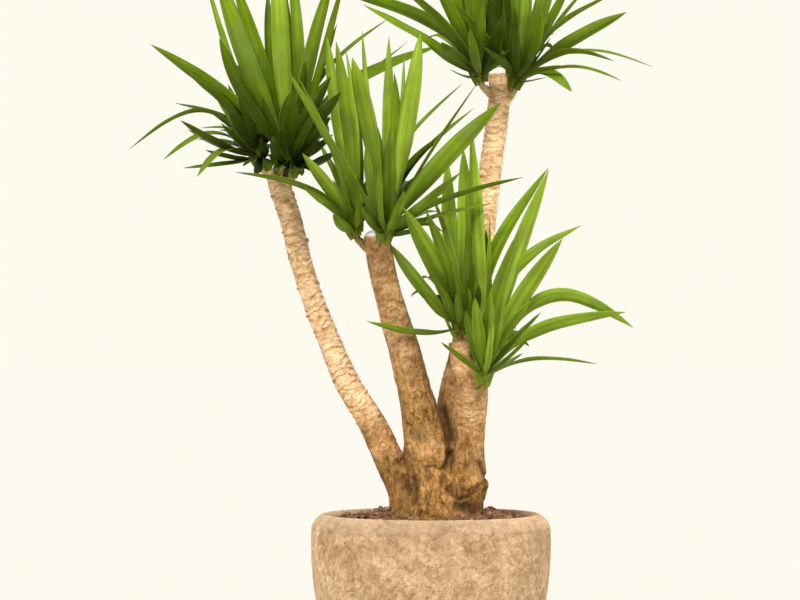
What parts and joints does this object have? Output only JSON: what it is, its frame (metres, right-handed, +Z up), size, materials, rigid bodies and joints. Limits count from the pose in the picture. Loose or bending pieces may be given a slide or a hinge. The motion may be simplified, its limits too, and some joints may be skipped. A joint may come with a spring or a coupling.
{
  "type": "potted yucca",
  "caption": "Tall yucca with bare leaning canes grown from one stump, tufts of sword-shaped leaves at their tops, in a round barrel-walled stone pot filled with soil.",
  "frame": {"origin": "middle of the pot's flat foot, on the surface that it stands on", "axes": "+Z up; +X to the right and +Y away from someone who looks at the plant's front"},
  "size_m": [0.988, 0.7308, 1.617],
  "materials": {
    "pot_stone": "rough sandy cast stone",
    "soil": "loose bark-based potting soil",
    "bark": "dry ringed and scarred bark",
    "leaf": "satin green leaf"
  },
  "bodies": {
    "root": {"pot": "pot_stone", "soil": "soil", "trunk": "bark", "rosette_left_1": "leaf", "rosette_left_2": "leaf", "rosette_middle_1": "leaf", "rosette_middle_2": "leaf", "rosette_front_1": "leaf", "rosette_front_2": "leaf", "rosette_tall_1": "leaf", "rosette_tall_2": "leaf"}
  },
  "joints": []
}
